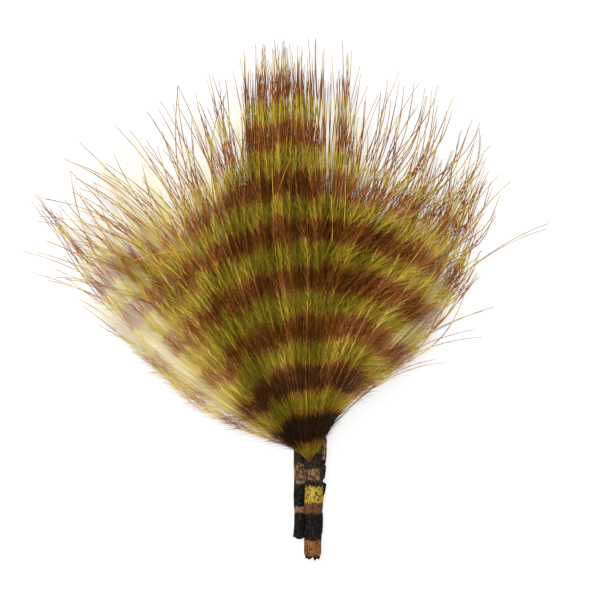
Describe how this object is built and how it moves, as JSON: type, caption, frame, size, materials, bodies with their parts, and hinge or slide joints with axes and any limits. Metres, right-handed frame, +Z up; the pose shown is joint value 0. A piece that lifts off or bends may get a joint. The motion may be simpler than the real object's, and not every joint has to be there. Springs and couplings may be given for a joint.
{
  "type": "pair of barred marabou feathers",
  "caption": "Barred marabou blood feathers stuck together side by side: short bare quills that open into one soft, rounded fan of down, lying flat.",
  "frame": {"origin": "on the surface that the feathers lie on, under the middle of their box", "axes": "+Y from the cut quills towards the tips of the down, +X to the right seen from above, +Z up from the surface"},
  "size_m": [0.1028, 0.1001, 0.0121],
  "materials": {
    "left_feather": "matte",
    "right_feather": "matte"
  },
  "bodies": {
    "root": {"left_feather": "left_feather", "right_feather": "right_feather"}
  },
  "joints": []
}
